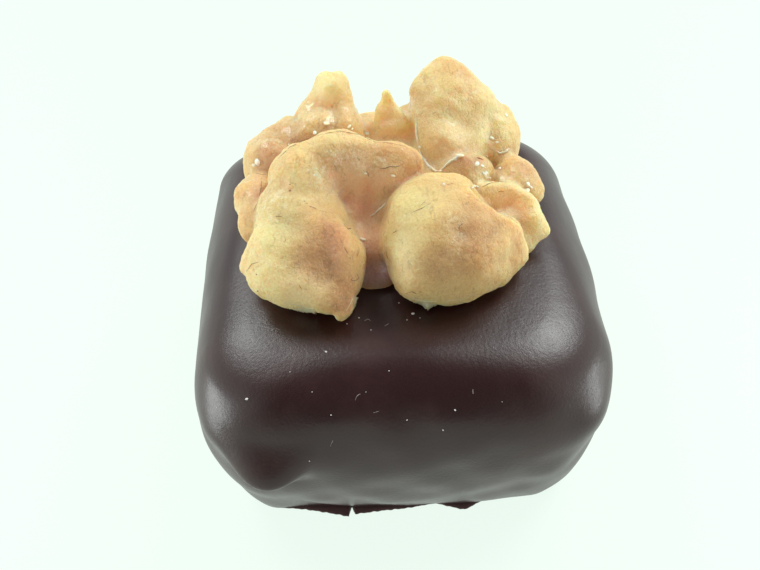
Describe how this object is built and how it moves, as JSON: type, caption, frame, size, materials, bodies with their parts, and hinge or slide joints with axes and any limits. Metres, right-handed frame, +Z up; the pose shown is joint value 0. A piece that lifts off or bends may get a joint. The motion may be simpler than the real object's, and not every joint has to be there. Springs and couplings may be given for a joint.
{
  "type": "chocolate praline",
  "caption": "Rounded square chocolate praline with glossy dark coating and a walnut half resting on its flat top.",
  "frame": {"origin": "under the middle of the block, on the surface that it stands on", "axes": "+Z up through the walnut, -Y towards the front with the drip and the thin foot, +X to the right seen from the front"},
  "size_m": [0.0297, 0.0305, 0.0246],
  "materials": {
    "chocolate": "dark chocolate coating with a soft satin gloss",
    "walnut": "peeled walnut kernel, creamy yellow with orange-brown creases and a slightly oily sheen"
  },
  "bodies": {
    "root": {"chocolate": "chocolate", "walnut": "walnut"}
  },
  "joints": []
}
